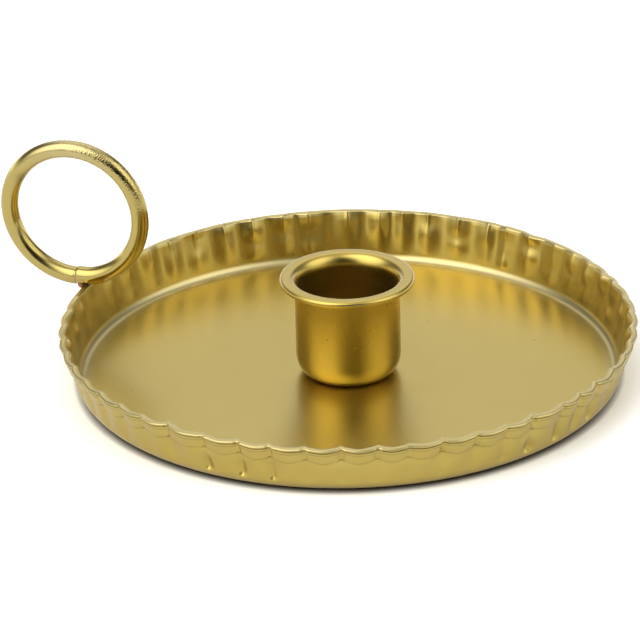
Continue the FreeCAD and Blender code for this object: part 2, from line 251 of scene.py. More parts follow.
class CupSizes(bpy.types.PropertyGroup):
    """Sizes of the drawn candle cup."""

    lip_radius: length("Lip radius", "Outside of the flared lip", cup_high.x)
    top: length("Top", "Resting plane to the top of the lip", cup_high.z)
    foot: length("Foot", "Resting plane to the cup's underside", cup_low.z)
    body_radius: length("Body radius", "Outside of the cup's body", 12.5 * MM)
    sheet: length("Sheet", "Thickness of the cup's sheet", 0.8 * MM)
    corner: length("Corner", "Width of the outside bend at the bottom of the cup", 3.3 * MM)
    corner_height: length("Corner height", "Height of that bend", 5.2 * MM)
    lip_bend: length("Lip bend", "Width of the bend from the bore to the lip", 2.1 * MM)
    lip_depth: length("Lip depth", "Height of that bend", 3.4 * MM)
    lip_edge: length("Lip edge", "Radius of the lip's rolled edge", 0.85 * MM)
    # Brown inside the cup: tarnish and painted shade, darker deeper down
    bore_stain_and_shade: share("Bore stain", "How brown the inside of the cup is", 0.35)


class RingSizes(bpy.types.PropertyGroup):
    """Sizes of the finger ring and of the braze bead that holds it."""

    ring_radius: length("Ring radius", "Centre of the ring to the middle of the wire", 16.75 * MM)
    wire_radius: length("Wire radius", "Wire of the finger ring", 2.145 * MM)
    reach: length("Reach", "Plate axis to the ring's centre", 70.35 * MM)
    foot: length("Foot", "Resting plane to the lowest point of the wire", ring_low.z)
    turn: angle("Turn", "How far the ring stands turned about the vertical", 3.6)
    lean: angle("Lean", "How far the ring leans sideways", 1.5)
    seam_gap: length("Seam gap", "Slit between the butted ends of the wire", 0.15 * MM)
    seam_step: length("Seam step", "How far one end of the wire stands off the other", 0.3 * MM)
    bead_reach: length("Bead reach", "Plate axis to the middle of the braze bead", 68.9 * MM)
    bead_length: length("Bead length", "Half length of the bead along the wire", 1.6 * MM)
    bead_width: length("Bead width", "Half width of the bead across the wire", 1.6 * MM)
    bead_height: length("Bead height", "Half height of the bead", 1.1 * MM)


class Finishes(bpy.types.PropertyGroup):
    """Colours of the metals."""

    brass: colour("Brass", "Satin brass plating", "#C8B15A")
    cup_brass: colour("Cup brass", "Satin brass plating of the cup, a little yellower", "#C9B056")
    # Pale worn plating along the rim, and a painted highlight on the floor's bend and the ring's top
    wear_and_highlight_brass: colour("Worn brass", "Paler plating along the rim and the floor's bend", "#CDC090")
    # Brown tarnish and specks, and painted shade in the plate's slits, grooves and creases and in
    # the cup
    stain: colour("Stain", "Brown tarnish in the cup, in the seams and in small specks", "#4A3410")
    wire_brass: colour("Wire brass", "Plating of the finger ring", "#C0AB60")
    copper: colour("Copper", "Braze metal that shows through at the ring's foot", "#E08A42")
    # Burnt flux and painted shade beside the braze, where the ring meets the rim
    soot_and_shade: colour("Soot", "Burnt flux beside the braze", "#54401F")


class StageSettings(bpy.types.PropertyGroup):
    """Camera and studio."""

    distance: length("Distance", "Camera to the plate's middle", 1250.0 * MM)
    elevation: angle("Elevation", "How far the camera looks down", 24.65)
    azimuth: angle("Azimuth", "Camera's turn about the plate", 22.6)
    roll: angle("Roll", "Camera's tilt about its own line of sight", 1.4)
    aim_right: length("Aim right", "How far the object's middle lies right of the frame's",
                      6.64 * MM)
    aim_up: length("Aim up", "How far the object's middle lies above the frame's", -12.58 * MM)
    lens: bpy.props.FloatProperty(name="Lens", description="Focal length on a 36 mm sensor",
                                  default=294.4, subtype="DISTANCE_CAMERA")
    floor_radius: length("Floor radius", "Pale studio floor", 4.0)
    paper: colour("Paper", "Floor under the plate", "#F4F4F2")


def add_node(tree, kind, inputs=None, **settings):
    """Adds a node with its settings. An input gets a value, or a socket to be linked from."""
    node = tree.nodes.new(kind)
    for name, value in settings.items():
        setattr(node, name, value)
    for name, value in (inputs or {}).items():
        if isinstance(value, bpy.types.NodeSocket):
            tree.links.new(value, node.inputs[name])
        else:
            node.inputs[name].default_value = value
    return node


def calculate(tree, operation, *values, **settings):
    """The result of one step of arithmetic on sockets or numbers."""
    return add_node(tree, "ShaderNodeMath", dict(enumerate(values)), operation=operation,
                    **settings).outputs["Value"]


def remap(tree, value, start, end, low=0.0, high=1.0, **settings):
    """The value turned from the range start to end into the range low to high."""
    return add_node(tree, "ShaderNodeMapRange",
                    {"Value": value, "From Min": start, "From Max": end,
                     "To Min": low, "To Max": high}, **settings).outputs["Result"]


# Sockets of a Mix node that mixes colours: how far, from, to, and its result
FACTOR, FROM, TO, MIXED = 0, 6, 7, 2


def mix(tree, factor, start, end):
    """The colour that lies as far from start to end as the factor says."""
    return add_node(tree, "ShaderNodeMix", {FACTOR: factor, FROM: start, TO: end},
                    data_type="RGBA").outputs[MIXED]


def cloudy_noise(tree, place, size, detail):
    """Soft noise with patches of a given size."""
    return add_node(tree, "ShaderNodeTexNoise",
                    {"Vector": place, "Scale": 1 / size, "Detail": detail}).outputs["Fac"]


def layer(tree, name):
    """A painted-on share of the mesh, nought where the mesh has none of that name."""
    return add_node(tree, "ShaderNodeAttribute", attribute_name=name).outputs["Fac"]


def new_material(name):
    """An empty material with its output."""
    material = bpy.data.materials.new(name)
    material.use_nodes = True
    tree = material.node_tree
    tree.nodes.clear()
    return material, tree, add_node(tree, "ShaderNodeOutputMaterial")


def plated_brass(name, base, finishes, roughness, pit_depth=0.0):
    """Lacquered satin brass plating. Painted-on shares give the pale wear on the rim, the painted
    highlight on the floor's bend and the ring's top, the brown tarnish with painted shade in the
    slits, grooves, creases and cup, the bare copper and the rough patch on the ring."""
    material, tree, output = new_material(name)
    place = add_node(tree, "ShaderNodeTexCoord").outputs["Object"]
    # Cloudy plating, patches about 14 mm across
    clouds = cloudy_noise(tree, place, 14 * MM, 3.0)
    # Satin grain: real grain is under 0.1 mm and wouldn't show, so it is drawn at 0.35 mm
    grain = cloudy_noise(tree, place, 0.35 * MM, 2.0)
    # Paler where worn, and where a highlight is painted on the floor's bend and the ring's top
    tint = mix(tree, layer(tree, "worn"), base, finishes.wear_and_highlight_brass)
    tint = mix(tree, layer(tree, "coppered"), tint, finishes.copper)
    # Brown specks up to 0.4 mm across in cells of 4 mm, only in the redder third of the cells
    cell = 4 * MM
    speck_radius = 0.2 * MM
    cells = add_node(tree, "ShaderNodeTexVoronoi", {"Vector": place, "Scale": 1 / cell})
    lot = add_node(tree, "ShaderNodeSeparateColor", {"Color": cells.outputs["Color"]})
    reach = remap(tree, lot.outputs["Red"], 0.66, 1.0, 0.0, speck_radius / cell)
    speck = calculate(tree, "LESS_THAN", cells.outputs["Distance"], reach)
    # Tarnish with painted shade, mottled by the grain. It is duller than clean plating.
    mottled = remap(tree, grain, 0.3, 0.6, 0.75, 1.0)
    mottled_tarnish_and_shade = calculate(tree, "MULTIPLY", layer(tree, "stained"), mottled)
    brown = calculate(tree, "MAXIMUM", mottled_tarnish_and_shade, speck)
    tint = mix(tree, brown, tint, finishes.stain)
    cloudy = remap(tree, clouds, 0.3, 0.7, roughness - 0.03, roughness + 0.03)
    rough = calculate(tree, "MULTIPLY_ADD", brown, 0.25, cloudy)
    normal = add_node(tree, "ShaderNodeBump",
                      {"Height": grain, "Strength": 1.0, "Distance": 0.004 * MM})
    if pit_depth:
        # Pits where the plating flaked before it was lacquered, about 0.4 mm apart
        pits = add_node(tree, "ShaderNodeTexVoronoi",
                        {"Vector": place, "Scale": 1 / (0.4 * MM)}).outputs["Distance"]
        depth = calculate(tree, "MULTIPLY", pits, layer(tree, "pitted"))
        normal = add_node(tree, "ShaderNodeBump",
                          {"Height": depth, "Distance": pit_depth, "Strength": 1.0,
                           "Normal": normal.outputs["Normal"]})
    shader = add_node(tree, "ShaderNodeBsdfPrincipled",
                      {"Base Color": tint, "Metallic": 1.0, "Roughness": rough,
                       "Normal": normal.outputs["Normal"], "Coat Weight": 0.45,
                       "Coat Roughness": 0.25})
    tree.links.new(shader.outputs["BSDF"], output.inputs["Surface"])
    return material


def add_mesh(name, points, faces, material, painted=None):
    """A smooth mesh that rides on the frame's only body, with its painted-on shares."""
    mesh = bpy.data.meshes.new(name)
    mesh.from_pydata(points, [], faces)
    mesh.validate()
    for layer_name, values in (painted or {}).items():
        mesh.attributes.new(layer_name, "FLOAT", "POINT").data.foreach_set("value", values)
    mesh.shade_smooth()
    mesh.materials.append(material)
    piece = bpy.data.objects.new(name, mesh)
    bpy.context.scene.collection.objects.link(piece)
    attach(piece, "root")
    return piece


def grid_faces(rows, columns, rows_closed):
    """Quads between neighbouring rows of points. Each row is closed on itself."""
    faces = []
    last = rows if rows_closed else rows - 1
    for row in range(last):
        here = row * columns
        there = (row + 1) % rows * columns
        for column in range(columns):
            beside = (column + 1) % columns
            faces.append((here + column, here + beside, there + beside, there + column))
    return faces


def steps(start, end, count):
    """count numbers from start up to, but not including, end."""
    return [start + (end - start) * number / count for number in range(count)]


def arc(centre, radius, start, end, count, flatten=1.0):
    """count + 1 points of an arc in a section, as (radius, height) pairs. Angles in degrees."""
    places = []
    for number in range(count + 1):
        turn = math.radians(start + (end - start) * number / count)
        places.append((centre[0] + radius * math.cos(turn),
                       centre[1] + radius * flatten * math.sin(turn)))
    return places


def smooth_step(value, low, high):
    """A soft climb from 0 at low to 1 at high."""
    grown = min(max((value - low) / (high - low), 0.0), 1.0)
    return grown * grown * (3 - 2 * grown)


def bump(value, width, power=2):
    """A hump of height 1 at zero that has all but faded at twice its half width."""
    return math.exp(-(abs(value) / width) ** power)


# One upright column of the plate's points, and one point of its half section. The face says
# which part of the skin that lies on: base, wall, hem, rim, inside or floor.
Column = collections.namedtuple("Column", "turned across gap crease depth")
Station = collections.namedtuple("Station", "radius height face sag worn stained")


def flute_columns(sizes):
    """Every upright column of points round the plate: its angle, its place across the flute from
    -1 to 1, its gap to the nearer crease, that crease's number and its depth share."""
    columns = []
    turned = FIRST_CREASE_ANGLE
    total = sum(FLUTE_WIDTHS)
    for number, width_share in enumerate(FLUTE_WIDTHS):
        width = 2 * math.pi * width_share / total
        for step in range(FLUTE_POINTS):
            across = -math.cos(math.pi * step / FLUTE_POINTS)
            crease = (number + (across > 0)) % len(FLUTE_WIDTHS)
            gap = (1 - abs(across)) * width * sizes.rim_radius / 2
            columns.append(Column(turned + width * (1 + across) / 2, across, gap, crease,
                                  CREASE_DEPTHS[crease]))
        turned += width
    return columns


class PlateSection:
    """Half section of the plate on a crown: a closed row of stations."""

    def __init__(self, sizes):
        self.sizes = sizes
        self.rim = sizes.height - sizes.crease_lift
        self.shoulder = self.rim - sizes.bead_height / 2
        self.hem_end = self.rim - sizes.hem_depth
        drop = sizes.corner_radius - sizes.wall_start
        inner = sizes.corner_radius - sizes.sheet
        self.bend_end = -math.degrees(math.asin(drop / sizes.corner_radius))
        self.foot_outside = sizes.base_radius + math.sqrt(sizes.corner_radius ** 2 - drop ** 2)
        foot_inside = sizes.base_radius + math.sqrt(inner ** 2 - drop ** 2)
        self.thickness = self.foot_outside - foot_inside
        self.lean = ((sizes.rim_radius - self.thickness - self.foot_outside)
                     / (self.rim - sizes.wall_start))
        self.inner_shoulder = self.wall_outside(self.shoulder) - self.thickness
        # The inside bend touches the floor and the wall
        middle = sizes.sheet + sizes.inner_bend
        self.inner_centre = (self.wall_outside(middle) - self.thickness
                             - sizes.inner_bend * math.hypot(1.0, self.lean), middle)
        self.inner_bend_end = -math.degrees(math.atan(self.lean))
        self.inner_wall_start = middle - sizes.inner_bend * self.lean / math.hypot(1.0, self.lean)
        self.stations = []
        self.trace()

    def wall_outside(self, height):
        """Radius of the wall's outside at a height."""
        return self.foot_outside + self.lean * (height - self.sizes.wall_start)

    def over_rim(self, radius):
        """How far over the fold of the rim a radius lies, from 0 outside to 1 inside."""
        outside = self.sizes.rim_radius
        return (outside - radius) / (outside - self.inner_shoulder)

    def grown(self, height):
        """How much of its depth a flute has at a height."""
        start = self.sizes.flute_start
        rise = min(max((height - start) / (self.rim - start), 0.0), 1.0)
        return 1 - (1 - rise) ** FLUTE_GROWTH

    def add(self, radius, height, face, sag=0.0, worn=0.0, stained=0.0):
        """Adds one station, with how far it sags on a crown and its painted-on shares."""
        self.stations.append(Station(radius, height, face, sag, worn, stained))

    def trace(self):
        """From the rivet hole along the underside, up the outside, over the rim and back."""
        behind_hem = self.hem_end + SLIT_DEPTH
        self.trace_outside(behind_hem)
        self.trace_hem(behind_hem)
        self.trace_rim()
        self.trace_inside()

    def trace_outside(self, behind_hem):
        """The underside with its dimple, the bend, and the wall up to behind the hem."""
        sizes = self.sizes
        centre = (sizes.base_radius, sizes.corner_radius)
        self.add(sizes.hole_radius, sizes.dimple_rise, "base")
        self.add(sizes.dimple_top, sizes.dimple_rise, "base")
        for radius in steps(sizes.dimple_foot, sizes.base_radius, PLATE_POINTS["bottom"]):
            self.add(radius, 0.0, "base")
        for radius, height in arc(centre, sizes.corner_radius, -90, self.bend_end,
                                  PLATE_POINTS["bend"]):
            self.add(radius, height, "wall")
        for height in steps(sizes.wall_start, behind_hem, PLATE_POINTS["wall"])[1:]:
            sag = sizes.hem_sag * smooth_step(height, sizes.wall_start, self.hem_end)
            # Tarnish and painted shade on the wall just under the hem's edge
            shaded = smooth_step(height, self.hem_end - TARNISH_AND_SHADE_BELOW_HEM, self.hem_end)
            self.add(self.wall_outside(height), height, "wall", sag=sag, stained=shaded)

    def trace_hem(self, behind_hem):
        """The slit behind the hem, its rounded lower edge and its grooved outside."""
        sizes = self.sizes
        # The slit and the hem's lower edge get tarnish and painted shade
        for height in (behind_hem, self.hem_end):
            self.add(self.wall_outside(height) + sizes.hem_slit, height, "hem",
                     sag=sizes.hem_sag, stained=TARNISH_AND_SHADE["slit"])
        edge = self.wall_outside(self.hem_end) + sizes.hem_step
        round_off = (sizes.hem_step - sizes.hem_slit) / 2
        for radius, height in arc((edge - round_off, self.hem_end + round_off), round_off,
                                  -120, 0, PLATE_POINTS["hem_edge"]):
            self.add(radius, height, "hem", sag=sizes.hem_sag, stained=TARNISH_AND_SHADE["hem_edge"])
        lean = (sizes.rim_radius - edge) / (self.shoulder - self.hem_end)
        groove = self.rim - sizes.bead_height
        line = groove - LINE_DROP
        for height in steps(self.hem_end + 2 * round_off, self.shoulder, PLATE_POINTS["hem"]):
            under_bead = bump(height - groove, GROOVE_WIDTH)
            faint = bump(height - line, LINE_WIDTH)
            radius = edge + lean * (height - self.hem_end)
            radius -= sizes.bead_groove * under_bead + sizes.line_groove * faint
            sag = sizes.hem_sag * (self.shoulder - height) / (self.shoulder - self.hem_end)
            worn = WEAR_AND_HIGHLIGHT["beside_rim"] * smooth_step(height, groove, self.shoulder)
            # Tarnish and painted shade in the groove and in the faint line
            stained = TARNISH_AND_SHADE["groove"] * under_bead + TARNISH_AND_SHADE["line"] * faint
            self.add(radius, height, "hem", sag, worn, stained)

    def trace_rim(self):
        """The fold over the top of the rim."""
        middle = (self.sizes.rim_radius + self.inner_shoulder) / 2
        across = self.sizes.rim_radius - middle
        flatten = (self.rim - self.shoulder) / across
        for radius, height in arc((middle, self.shoulder), across, 0, 180, PLATE_POINTS["rim"],
                                  flatten):
            self.add(radius, height, "rim", worn=WEAR_AND_HIGHLIGHT["rim"])

    def trace_inside(self):
        """Down the inside of the wall, round the bend and along the floor to the rivet hole."""
        sizes = self.sizes
        for height in steps(self.shoulder, self.inner_wall_start, PLATE_POINTS["inside"])[1:]:
            near_rim = smooth_step(height, self.shoulder - WEAR_BELOW_RIM, self.shoulder)
            self.add(self.wall_outside(height) - self.thickness, height, "inside",
                     worn=WEAR_AND_HIGHLIGHT["beside_rim"] * near_rim)
        for radius, height in arc(self.inner_centre, sizes.inner_bend, self.inner_bend_end,
                                  -90, PLATE_POINTS["inner_bend"]):
            # Painted highlight: paler plating along the inner bend
            below_wall = smooth_step(self.inner_wall_start - height, 0.0, HIGHLIGHT_ON_BEND)
            self.add(radius, height, "inside", worn=WEAR_AND_HIGHLIGHT["inner_bend"] * below_wall)
        for radius in steps(self.inner_centre[0], sizes.dimple_foot, PLATE_POINTS["floor"])[1:]:
            self.add(radius, sizes.sheet, "floor")
        self.add(sizes.dimple_foot, sizes.sheet, "base")
        self.add(sizes.dimple_top, sizes.dimple_rise + sizes.sheet, "base")
        self.add(sizes.hole_radius, sizes.dimple_rise + sizes.sheet, "base")


def pinch(section, station, column):
    """Depth of the sharp part of a crease: a trough in the hem, a ridge inside, a dent low down."""
    sizes = section.sizes
    trough = sizes.trough_depth * column.depth * bump(column.gap, sizes.trough_width, 4)
    ridge = sizes.ridge_depth * column.depth * bump(column.gap, sizes.ridge_width)
    ridge *= smooth_step(station.height, *RIDGE_HEIGHTS)
    # A dent is widest and deepest at its foot
    down = smooth_step(section.hem_end - station.height, 0.0, section.hem_end - sizes.wall_start)
    dent_width = sizes.dent_width * (DENT_NECK + (1 - DENT_NECK) * down)
    dented = STRONG_DENTS.get(column.crease, FAINT_DENT * column.depth)
    dent = sizes.dent_depth * dented * down ** DENT_GROWTH * bump(column.gap, dent_width)
    dent *= smooth_step(station.height, *DENT_HEIGHTS)
    if station.face == "hem":
        return trough
    if station.face == "rim":
        return trough + (ridge - trough) * section.over_rim(station.radius)
    if station.face == "inside":
        below_hem = smooth_step(section.hem_end - station.height, 0.0, DENT_FADE)
        return ridge + DENT_INSIDE * dent * below_hem
    return dent


def flute_wander(height):
    """How much each flute has swollen or shrunk at a height, as hand pressing does."""
    spots = [Vector((crease * WANDER_STEP, height / WANDER_HEIGHT, 0.5))
             for crease in range(len(FLUTE_WIDTHS))]
    return [1 + FLUTE_WANDER * noise.noise(spot) for spot in spots]


def plate_points(sizes, columns):
    """Points of the plate's skin, row by row, their painted-on shares and the number of rows."""
    section = PlateSection(sizes)
    points = []
    painted = {"worn": [], "stained": []}
    for station in section.stations:
        grown = section.grown(station.height)
        soft_depth = sizes.flute_depth * grown
        if station.face == "hem":
            soft_depth *= sizes.hem_share
        if station.face == "rim":
            over_rim = section.over_rim(station.radius)
            soft_depth *= sizes.hem_share + (1 - sizes.hem_share) * over_rim
        wander = flute_wander(station.height)
        lift = sizes.crease_lift * grown + station.sag
        for column in columns:
            inwards = 0.0
            up = station.height
            if station.face not in ("base", "floor"):
                wave = math.sin(math.pi * column.across / 2) ** 2
                sharp = pinch(section, station, column)
                inwards = soft_depth * wave * column.depth * wander[column.crease] + sharp
                pinched_wave = bump(column.gap, sizes.trough_width)
                risen = lift * (SOFT_RISE * wave + PINCHED_RISE * pinched_wave)
                inwards -= section.lean * risen
                up += risen
            place = (math.cos(column.turned), math.sin(column.turned))
            if station.face in ("wall", "inside"):
                spot = Vector((place[0] * station.radius, place[1] * station.radius,
                               station.height)) / WALL_WAVE
                inwards += sizes.wall_unevenness * grown * (0.5 + noise.noise(spot))
            out = station.radius - inwards
            if station.face == "floor":
                spot = Vector((place[0], place[1], 0.0)) * (station.radius / FLOOR_WAVE)
                level = smooth_step(sizes.base_radius - station.radius, 0.0, FLOOR_EDGE)
                up += sizes.floor_unevenness * level * noise.noise(spot)
            points.append((out * place[0], out * place[1], max(up, 0.0)))
            # Tarnish gathers where the creases keep the polishing wheel out, and painted shade
            # darkens the creases and the wall under the hem
            stained = station.stained
            if station.face == "wall":
                pinched = bump(column.gap, TARNISH_AND_SHADE_IN_CREASE) * column.depth
                stained *= TARNISH_AND_SHADE["below_hem"] + TARNISH_AND_SHADE["crease"] * pinched
            painted["stained"].append(stained)
        painted["worn"].extend([station.worn] * len(columns))
    return points, painted, len(section.stations)


class OBJECT_OT_candle_plate_plate(bpy.types.Operator):
    """Builds the fluted plate with its folded hem"""

    bl_idname = "candle_plate.plate"
    bl_label = "Plate"

    def execute(self, context):
        sizes = context.scene.plate_sizes
        finishes = context.scene.plate_finishes
        columns = flute_columns(sizes)
        points, painted, rows = plate_points(sizes, columns)
        # Brass plating on pressed steel sheet under satin lacquer: broad soft reflections
        material = plated_brass("satin_plated_sheet", finishes.brass, finishes, 0.33)
        plate = add_mesh("fluted_plate", points, grid_faces(rows, len(columns), True),
                         material, painted)
        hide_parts("plate")
        return {"FINISHED"}


def cup_section(sizes, plate):
    """Closed section of the cup, up the outside and down the inside, with its share of brown tarnish
    and painted shade.
    """
    counts = CUP_SECTION_POINTS
    corner = (sizes.body_radius - sizes.corner, sizes.foot + sizes.corner_height)
    bore = sizes.body_radius - sizes.sheet
    lip = (bore + sizes.lip_bend, sizes.top - sizes.lip_depth)
    edge = (sizes.lip_radius - sizes.lip_edge, sizes.top - sizes.lip_edge)
    dimple = plate.dimple_rise + plate.sheet
    section = [(plate.hole_radius, dimple), (plate.dimple_top, dimple),
               (plate.dimple_foot, sizes.foot)]
    section += arc(corner, sizes.corner, -90, 0, counts["corner"],
                   sizes.corner_height / sizes.corner)
    section += [(sizes.body_radius, height)
                for height in steps(corner[1], lip[1], counts["body"])[1:]]
    # The outside of the bend runs into the rolled edge before it is level
    outer_bend = sizes.lip_bend - sizes.sheet
    section += arc(lip, outer_bend, 180, 110, counts["outer_bend"],
                   (sizes.lip_depth - sizes.sheet) / outer_bend)
    section += arc(edge, sizes.lip_edge, -150, 90, counts["edge"])
    section += arc(lip, sizes.lip_bend, 90, 180, counts["inner_bend"],
                   sizes.lip_depth / sizes.lip_bend)
    section += [(bore, height) for height in steps(lip[1], corner[1], counts["bore"])[1:]]
    inner_corner = sizes.corner - sizes.sheet
    section += arc(corner, inner_corner, 0, -90, counts["inner_corner"],
                   (sizes.corner_height - sizes.sheet) / inner_corner)
    section += [(plate.dimple_foot, sizes.foot + sizes.sheet),
                (plate.dimple_top, dimple + sizes.sheet),
                (plate.hole_radius, dimple + sizes.sheet)]
    # Brown tarnish and painted shade below the lip, darker deeper down, on all that is no wider than
    # the bore: the inside, and the bend at the foot, where it paints contact shade
    widest = bore + 0.01 * MM
    stained = [sizes.bore_stain_and_shade * smooth_step(sizes.top - height, *CUP_STAIN_AND_SHADE_DEPTHS)
               if radius < widest else 0.0 for radius, height in section]
    return section, stained


class OBJECT_OT_candle_plate_cup(bpy.types.Operator):
    """Builds the drawn candle cup with its flared lip"""

    bl_idname = "candle_plate.cup"
    bl_label = "Candle cup"

    def execute(self, context):
        finishes = context.scene.plate_finishes
        section, stain_and_shade_shares = cup_section(context.scene.cup_sizes, context.scene.plate_sizes)
        points = []
        stained = []
        for (radius, height), stain in zip(section, stain_and_shade_shares):
            for turned in steps(0.0, 2 * math.pi, CUP_POINTS):
                points.append((radius * math.cos(turned), radius * math.sin(turned), height))
            stained.extend([stain] * CUP_POINTS)
        # Brass plating on deep-drawn steel: a little smoother than the pressed plate
        material = plated_brass("satin_plated_cup", finishes.cup_brass, finishes, 0.28)
        cup = add_mesh("drawn_cup", points, grid_faces(len(section), CUP_POINTS, True),
                       material, {"stained": stained})
        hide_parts("candle_cup")
        return {"FINISHED"}


class OBJECT_OT_candle_plate_rivet(bpy.types.Operator):
    """Gives the rivet in the cup its plated finish"""

    bl_idname = "candle_plate.rivet"
    bl_label = "Rivet"

    def execute(self, context):
        finishes = context.scene.plate_finishes
        # Brass plating on a formed rivet: satin like the sheet round it
        material = plated_brass("satin_plated_rivet", finishes.brass, finishes, 0.3)
        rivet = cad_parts["cup_rivet"]
        rivet.data.materials.clear()
        rivet.data.materials.append(material)
        return {"FINISHED"}


def ring_stand(sizes):
    """Centre of the finger ring and the turn that stands it on the rim."""
    stand = Matrix.Rotation(sizes.turn, 3, "Z") @ Matrix.Rotation(sizes.lean, 3, "X")
    rise = stand @ Vector((0.0, 0.0, sizes.ring_radius + sizes.wire_radius))
    return Vector((-sizes.reach, 0.0, sizes.foot)) + rise, stand


def ring_shape(sizes):
    """Points, faces and painted-on shares of the bent wire, from its foot round to its foot."""
    centre, stand = ring_stand(sizes)
    # Each cut end has a chamfer
    chamfer = 0.15 * MM
    gap = sizes.seam_gap / sizes.ring_radius / 2
    rounds = [(gap, sizes.wire_radius - chamfer)]
    rounds += [(bend, sizes.wire_radius) for bend in
               steps(gap + chamfer / sizes.ring_radius, 2 * math.pi - gap, RING_POINTS)]
    rounds += [(2 * math.pi - gap, sizes.wire_radius - chamfer)]
    points = []
    painted = {"pitted": [], "stained": [], "coppered": [], "worn": []}
    for bend, wire in rounds:
        outwards = stand @ Vector((math.sin(bend), 0.0, -math.cos(bend)))
        sideways = stand @ Vector((0.0, 1.0, 0.0))
        lifted = sizes.seam_step * bump(bend * sizes.ring_radius, 3 * MM)
        middle = centre + outwards * (sizes.ring_radius - lifted)
        turned = math.degrees(bend)
        from_seam = min(bend, 2 * math.pi - bend) * sizes.ring_radius
        # Pitted from the plate's side to the top, worn pale with a painted highlight round the top,
        # a brown streak past it on the inside of the ring, and bare copper in the seam
        pitted = smooth_step(turned, *PITS_GROW) * (1 - smooth_step(turned, *PITS_END))
        streaked = 0.45 * bump(turned - STREAK[0], STREAK[1])
        coppered = 0.6 * bump(from_seam, 0.3 * MM)
        worn = 0.5 * bump(turned - WORN_AND_HIGHLIGHT_TOP[0], WORN_AND_HIGHLIGHT_TOP[1])
        for around in steps(0.0, 2 * math.pi, WIRE_POINTS):
            points.append(middle + wire * (outwards * math.cos(around)
                                           + sideways * math.sin(around)))
            painted["pitted"].append(pitted)
            painted["stained"].append(streaked * smooth_step(-math.cos(around), -0.3, 0.8))
            painted["coppered"].append(coppered * smooth_step(math.cos(around), -0.6, 0.6))
            painted["worn"].append(worn)
    faces = grid_faces(len(rounds), WIRE_POINTS, False)
    faces.append(tuple(range(WIRE_POINTS)))
    last = (len(rounds) - 1) * WIRE_POINTS
    faces.append(tuple(last + column for column in reversed(range(WIRE_POINTS))))
    return points, faces, painted


class OBJECT_OT_candle_plate_ring(bpy.types.Operator):
    """Bends the wire into the finger ring"""

    bl_idname = "candle_plate.ring"
    bl_label = "Finger ring"

    def execute(self, context):
        finishes = context.scene.plate_finishes
        points, faces, painted = ring_shape(context.scene.ring_sizes)
        # Brass plating on drawn steel wire: glossier than the sheet, faintly pitted at the top
        material = plated_brass("plated_wire", finishes.wire_brass, finishes, 0.17, 0.05 * MM)
        ring = add_mesh("wire_ring", points, faces, material, painted)
        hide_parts("ring_handle")
        return {"FINISHED"}


def braze_material(finishes):
    """Copper braze metal, cast as a small rough drop, burnt dark and with painted shade on the
    plate's side.
    """
    material, tree, output = new_material("cast_copper_braze")
    place = add_node(tree, "ShaderNodeTexCoord").outputs["Object"]
    lumps = cloudy_noise(tree, place, 0.5 * MM, 3.0)
    across = add_node(tree, "ShaderNodeSeparateXYZ", {"Vector": place}).outputs["X"]
    # Darker towards the plate's side: burnt flux and painted shade where the ring meets the rim
    burnt_and_shaded = remap(tree, across, *BURNT_AND_SHADED)
    darker = calculate(tree, "MULTIPLY_ADD", lumps, 0.5, burnt_and_shaded, use_clamp=True)
    rough = add_node(tree, "ShaderNodeBump",
                     {"Height": lumps, "Strength": 0.6, "Distance": 0.1 * MM})
    shader = add_node(tree, "ShaderNodeBsdfPrincipled",
                      {"Base Color": mix(tree, darker, finishes.copper, finishes.soot_and_shade),
                       "Metallic": 0.4, "Roughness": 0.5, "Normal": rough.outputs["Normal"]})
    tree.links.new(shader.outputs["BSDF"], output.inputs["Surface"])
    return material


class OBJECT_OT_candle_plate_braze(bpy.types.Operator):
    """Builds the lumpy braze bead at the ring's foot"""

    bl_idname = "candle_plate.braze"
    bl_label = "Braze bead"

    def execute(self, context):
        sizes = context.scene.ring_sizes
        shape = bmesh.new()
        bmesh.ops.create_icosphere(shape, subdivisions=4, radius=1.0)
        middle = Vector((-sizes.bead_reach, 0.0, sizes.foot))
        lump_depth = 0.18
        lumps_across = 2.2
        points = []
        for vertex in shape.verts:
            lump = 1 - lump_depth * (0.5 + noise.noise(vertex.co * lumps_across))
            points.append(middle + lump * Vector((vertex.co.x * sizes.bead_length,
                                                  vertex.co.y * sizes.bead_width,
                                                  vertex.co.z * sizes.bead_height)))
        faces = [tuple(corner.index for corner in face.verts) for face in shape.faces]
        shape.free()
        braze = add_mesh("braze_bead", points, faces,
                         braze_material(context.scene.plate_finishes))
        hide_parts("ring_braze")
        return {"FINISHED"}


def direction(settings, azimuth, elevation):
    """Unit vector to a place in the studio. Azimuth 0 is where the camera stands, right is plus."""
    turned = settings.azimuth + math.radians(azimuth)
    raised = math.radians(elevation)
    return Vector((math.sin(turned) * math.cos(raised), -math.cos(turned) * math.cos(raised),
                   math.sin(raised)))


def paper_material(settings):
    """Plain matt paper. For the camera it carries a painted shadow: the dark narrow shadow that the
    plate stands in.
    """
    material, tree, output = new_material("white_paper_floor")
    path = add_node(tree, "ShaderNodeLightPath")
    mirrored = calculate(tree, "MAXIMUM", path.outputs["Is Glossy Ray"],
                         path.outputs["Is Transmission Ray"])
    tint = mix(tree, mirrored, settings.paper, [PAPER_MIRRORED] * 3 + [1.0])
    # Painted shadow: ambient occlusion darkens the paper right under the plate's bend, where hardly
    # any light comes
    under = add_node(tree, "ShaderNodeAmbientOcclusion", {"Distance": SHADE_REACH}, samples=16)
    open_share = calculate(tree, "POWER", under.outputs["AO"], SHADE_POWER)
    level = calculate(tree, "MULTIPLY", open_share, PAPER_SEEN)
    tint = mix(tree, path.outputs["Is Camera Ray"], tint, level)
    paper = add_node(tree, "ShaderNodeBsdfDiffuse", {"Color": tint})
    tree.links.new(paper.outputs["BSDF"], output.inputs["Surface"])
    return material


